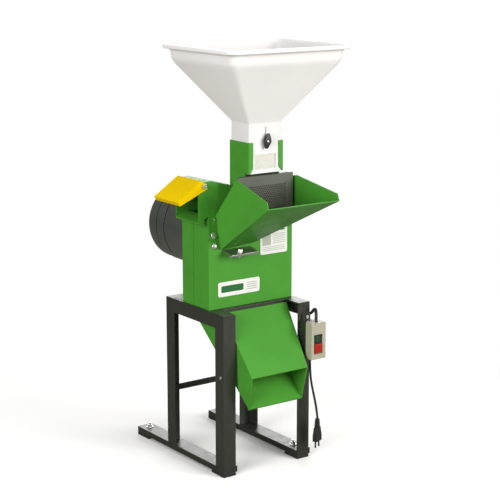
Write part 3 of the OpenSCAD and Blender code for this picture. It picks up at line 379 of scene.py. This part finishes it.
# ---------------------------------------------------------------- guard screen
def build_guard():
    """Perforated plate with a plain border. Its top and sides fold back, and the sides end in ears."""
    half_x, front, sheet = 93, 10, 2
    back = front + sheet
    bottom, top = 715, 830.5
    fold_x, fold_y = 83, 24
    ear_x, ear_z = 101.5, (742, 792)
    pitch_x, pitch_z, hole = 6.4, 5.2, 2.15
    cols, rows = 22, 13
    left = -cols * pitch_x / 2
    low = 736
    high = low + rows * pitch_z
    verts, faces = [], []

    def corner(x, z):
        verts.append(at(x, front, z))
        verts.append(at(x, back, z))
        return len(verts) - 2

    def panel(*corners):
        """A flat patch of the plate, seen from the front and from the back."""
        faces.append(corners)
        faces.append(tuple(c + 1 for c in reversed(corners)))

    def pierced_cell(cx, cz):
        """One cell of the plate with an eight-sided hole."""
        rim, edge = [], []
        for k in range(8):
            a = math.radians(45 * k + 22.5)
            rim.append(corner(cx + hole * math.cos(a), cz + hole * math.sin(a)))
            reach = max(abs(math.cos(a)), abs(math.sin(a)))
            edge_x = cx + math.cos(a) / reach * pitch_x / 2
            edge_z = cz + math.sin(a) / reach * pitch_z / 2
            edge.append(corner(edge_x, edge_z))
        for k in range(8):
            after = (k + 1) % 8
            panel(rim[k], edge[k], edge[after], rim[after])
            faces.append((rim[k], rim[after], rim[after] + 1, rim[k] + 1))
        for k, (sx, sz) in enumerate(((1, 1), (-1, 1), (-1, -1), (1, -1))):
            panel(edge[2 * k], corner(cx + sx * pitch_x / 2, cz + sz * pitch_z / 2), edge[2 * k + 1])

    def plain(x0, z0, x1, z1):
        panel(corner(x0, z0), corner(x1, z0), corner(x1, z1), corner(x0, z1))

    for row in range(rows):
        # every other row is set over by half a hole
        odd = row % 2
        z = low + row * pitch_z
        for col in range(cols - odd):
            pierced_cell(left + (col + 0.5 + odd / 2) * pitch_x, z + pitch_z / 2)
        if odd:
            plain(left, z, left + pitch_x / 2, z + pitch_z)
            plain(-left - pitch_x / 2, z, -left, z + pitch_z)
    plain(-half_x, bottom, half_x, low)
    plain(-half_x, high, half_x, top)
    plain(-half_x, low, left, high)
    plain(-left, low, half_x, high)
    # each fold is an upright prism: four corners seen from above, and its two heights
    rim_x = half_x - 1.5
    inner_x = fold_x - sheet
    roof = [(-rim_x, back), (rim_x, back), (fold_x, fold_y), (-fold_x, fold_y)]
    folds = [(roof, top - sheet, top)]
    for side in (-1, 1):
        cheek = [(half_x - sheet, back), (rim_x, back), (fold_x, fold_y), (inner_x, fold_y)]
        ear = [(inner_x, fold_y - sheet), (ear_x, fold_y - sheet), (ear_x, fold_y), (inner_x, fold_y)]
        folds.append(([(side * x, y) for x, y in cheek], ear_z[0], top - sheet))
        folds.append(([(side * x, y) for x, y in ear], *ear_z))
    for outline, z0, z1 in folds:
        base = len(verts)
        verts.extend(at(x, y, z) for z in (z0, z1) for x, y in outline)
        faces.extend(tuple(base + i for i in f) for f in PRISM_FACES)
    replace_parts(piece("guard_perforated", verts, faces, "guard_paint", "frame"), "guard_screen")
    # a black sheet behind the plate's holes, painted shade: the shaded space behind the guard is drawn
    # black, so nothing pale shows through the holes
    skin = box_points(left, back + 0.05, low, -left, back + 0.35, high)
    piece("guard_holes_painted_shade", skin, BOX_FACES, "rubber", "frame")


# ---------------------------------------------------------------- cables
# Points each cable runs through, from the switch box to the motor and from the box to the plug
MOTOR_CABLE = [(139, -40, 402), (139, -40, 414), (141.5, -37, 430), (147, -27, 441), (153, -12, 437),
               (155, 4, 424), (154.5, 30, 416), (154.5, 90, 413), (154.5, 180, 413), (154.5, 262, 416),
               (153, 303, 440), (140, 318, 505), (124, 319, 580), (113, 318, 618)]
POWER_CORD = [(119, -40, 303), (119, -40, 292), (120.5, -40, 264), (124, -40, 238), (130, -40, 212),
              (137, -40, 184), (143, -40, 156), (147, -40, 130), (147, -40, 123)]
MOTOR_CABLE_R = 4.4
POWER_CORD_R = 3.2


def build_cables():
    verts, faces = tube(MOTOR_CABLE, MOTOR_CABLE_R)
    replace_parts(piece("motor_cable_smooth", verts, faces, "cable_rubber", "frame", 60), "motor_cable")
    verts, faces = tube(POWER_CORD, POWER_CORD_R)
    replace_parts(piece("power_cord_smooth", verts, faces, "cable_rubber", "frame", 60), "power_cord")


# ---------------------------------------------------------------- switch
def build_bezel():
    """Black square frame round the start button, on the floor of the lid's recess."""
    centre_x, centre_z = 136, 363
    half_x, half_z, hole = 14, 12.5, 11.2
    front, back = -52.4, -50.02
    count = 40
    rings = []
    for y, square in ((back, True), (front, True), (front, False), (back, False)):
        ring = []
        for k in range(count):
            a = 2 * math.pi * k / count
            reach = max(abs(math.cos(a)), abs(math.sin(a)))
            along_x = half_x / reach if square else hole
            along_z = half_z / reach if square else hole
            ring.append(at(centre_x + along_x * math.cos(a), y, centre_z + along_z * math.sin(a)))
        rings.append(ring)
    verts, faces = loft(rings)
    piece("start_bezel", verts, faces, "black_plastic", "frame")


# ---------------------------------------------------------------- labels
def rounded_plate(x0, z0, x1, z1, y, corner, thick):
    """A thin upright plate with rounded corners. Its back is at y and its face towards the front."""
    outline = []
    for cx, cz, start in ((x1 - corner, z1 - corner, 0), (x0 + corner, z1 - corner, 90),
                          (x0 + corner, z0 + corner, 180), (x1 - corner, z0 + corner, 270)):
        for i in range(7):
            a = math.radians(start + 15 * i)
            outline.append((cx + corner * math.cos(a), cz + corner * math.sin(a)))
    count = len(outline)
    verts = [at(px, y, pz) for px, pz in outline] + [at(px, y - thick, pz) for px, pz in outline]
    faces = [tuple(range(count)), tuple(range(2 * count - 1, count - 1, -1))]
    faces += [(i, (i + 1) % count, count + (i + 1) % count, count + i) for i in range(count)]
    return verts, faces


def vinyl(name, color):
    """Printed film: a nearly even colour with a faint grain."""
    mat, tree, shader = new_material(name)
    where = coords(tree)
    ink = two_tone(tree, noise(tree, where, 30.0), shade(color, 0.97), shade(color, 1.02))
    tree.links.new(ink, shader.inputs["Base Color"])
    shader.inputs["Roughness"].default_value = 0.35
    shader.inputs["Specular IOR Level"].default_value = 0.3
    bump(tree, shader, noise(tree, where, 300.0, 2.0), 0.05, 0.0002)
    return mat


def build_labels():
    """Two plain plates with generic bars; nothing on them can be read."""
    white = vinyl("label_white", (0.66, 0.66, 0.65))
    green = vinyl("label_green", (0.010, 0.11, 0.03))
    grey = vinyl("label_grey", (0.34, 0.38, 0.33))
    cover_face = 77.0
    film = 0.12
    # the first layer stands clear of the cover by this much
    clear = 0.02

    def plate(name, areas, mat, corner=1.0, layer=0):
        """Thin plates on the front cover, one mesh for all the areas given."""
        verts, faces = [], []
        y = cover_face - clear - film * layer
        for x0, z0, x1, z1 in areas:
            points, sides = rounded_plate(x0, z0, x1, z1, y, corner, film)
            base = len(verts)
            verts.extend(points)
            faces.extend(tuple(base + i for i in side) for side in sides)
        piece(name, verts, faces, mat, "frame")

    plate("label_wide", [(-111, 492, 29, 533)], white, 5)
    plate("label_wide_bar", [(-101, 503, -26, 522)], green, 4, 1)
    plate("label_wide_lines", [(-14, z, 20, z + 2.4) for z in (502, 508, 514, 520)], grey, 1, 1)
    plate("label_data", [(32, 593, 125, 668)], white, 5)
    plate("label_data_block", [(38, 618, 68, 662)], grey, 1.5, 1)
    plate("label_data_heading", [(86, 657, 117, 660.5)], green, 1, 1)
    lines = [(74, 622 + 5 * i, 118, 623.6 + 5 * i) for i in range(6)]
    lines += [(40, 602 + 5 * i, 116, 603.6 + 5 * i) for i in range(3)]
    plate("label_data_lines", lines, grey, 0.6, 1)


# ---------------------------------------------------------------- set
def build_floor():
    """Plain pale floor. It is pale to the camera and fades to white far away, and it is darker to bounced
    light, so that undersides stay dark."""
    mat, tree, shader = new_material("floor")
    where = coords(tree)
    pale = two_tone(tree, noise(tree, where, 3.0), (0.90, 0.90, 0.90), (0.92, 0.92, 0.92))
    path = tree.nodes.new("ShaderNodeLightPath")
    mix = tree.nodes.new("ShaderNodeMix")
    mix.data_type = "RGBA"
    mix.inputs["A"].default_value = (0.26, 0.25, 0.22, 1)
    tree.links.new(path.outputs["Is Camera Ray"], mix.inputs["Factor"])
    tree.links.new(pale, mix.inputs["B"])
    tree.links.new(mix.outputs["Result"], shader.inputs["Base Color"])
    shader.inputs["Roughness"].default_value = 0.8
    shader.inputs["Specular IOR Level"].default_value = 0.0
    distance = tree.nodes.new("ShaderNodeVectorMath")
    distance.operation = "LENGTH"
    tree.links.new(where, distance.inputs[0])
    far = spread(tree, distance.outputs["Value"], 0.0, 1.0, 0.35, 1.3)
    seen = tree.nodes.new("ShaderNodeMath")
    seen.operation = "MULTIPLY"
    tree.links.new(far, seen.inputs[0])
    tree.links.new(path.outputs["Is Camera Ray"], seen.inputs[1])
    glow = tree.nodes.new("ShaderNodeEmission")
    fade = tree.nodes.new("ShaderNodeMixShader")
    tree.links.new(seen.outputs["Value"], fade.inputs["Fac"])
    tree.links.new(shader.outputs["BSDF"], fade.inputs[1])
    tree.links.new(glow.outputs["Emission"], fade.inputs[2])
    tree.links.new(fade.outputs["Shader"], tree.nodes["Material Output"].inputs["Surface"])
    mesh = bpy.data.meshes.new("floor")
    reach = 14.0
    corners = [(-reach, -reach, 0), (reach, -reach, 0), (reach, reach, 0), (-reach, reach, 0)]
    mesh.from_pydata(corners, [], [(0, 1, 2, 3)])
    mesh.materials.append(mat)
    floor = bpy.data.objects.new("floor", mesh)
    bpy.context.scene.collection.objects.link(floor)


def build_world():
    """White behind the machine, softer as a light."""
    world = bpy.data.worlds.new("studio")
    world.use_nodes = True
    tree = world.node_tree
    light = tree.nodes["Background"]
    light.inputs["Color"].default_value = (1.0, 1.0, 1.0, 1)
    light.inputs["Strength"].default_value = 0.20
    backdrop = tree.nodes.new("ShaderNodeBackground")
    backdrop.inputs["Color"].default_value = (1.0, 1.0, 1.0, 1)
    path = tree.nodes.new("ShaderNodeLightPath")
    pick = tree.nodes.new("ShaderNodeMixShader")
    tree.links.new(path.outputs["Is Camera Ray"], pick.inputs["Fac"])
    tree.links.new(light.outputs["Background"], pick.inputs[1])
    tree.links.new(backdrop.outputs["Background"], pick.inputs[2])
    tree.links.new(pick.outputs["Shader"], tree.nodes["World Output"].inputs["Surface"])
    bpy.context.scene.world = world


def build_lights():
    """Four square soft boxes: place, aim, side and watts of each, and its tint."""
    for name, spot, aim, size_m, power, tint in (
            ("key", (1.6, -3.4, 1.7), (0, 0, 0.7), 2.2, 170, (1.0, 0.98, 0.94)),
            ("left", (-3.4, -1.4, 1.6), (0, 0, 0.8), 2.2, 142, (1.0, 0.99, 0.96)),
            ("top", (-0.2, -0.3, 3.8), (0, 0, 0.5), 2.4, 54, (1.0, 0.99, 0.97)),
            ("back", (1.8, 2.6, 1.5), (0, 0, 0.6), 2.2, 60, (1.0, 1.0, 1.0))):
        lamp = bpy.data.lights.new(name, "AREA")
        lamp.color = tint
        lamp.shape = "SQUARE"
        lamp.size = size_m
        lamp.energy = power
        obj = bpy.data.objects.new(name, lamp)
        obj.location = spot
        obj.rotation_euler = (Vector(aim) - Vector(spot)).to_track_quat("-Z", "Y").to_euler()
        bpy.context.scene.collection.objects.link(obj)


def build_camera():
    """The photograph's view: from the front, 36 degrees to the left and 12 degrees above."""
    camera_data = bpy.data.cameras.new("camera")
    camera_data.sensor_width = 36
    camera_data.lens = 104.88
    camera = bpy.data.objects.new("camera", camera_data)
    camera.location = at(-2307, -3119, 1462.6)
    camera.rotation_euler = (math.radians(90 - 12.18), 0, math.radians(-35.78))
    bpy.context.scene.collection.objects.link(camera)
    bpy.context.scene.camera = camera
    bpy.context.scene.view_settings.view_transform = "Standard"


dress_frame()
build_hopper()
build_guard()
build_cables()
build_bezel()
build_labels()
build_floor()
build_world()
build_lights()
build_camera()
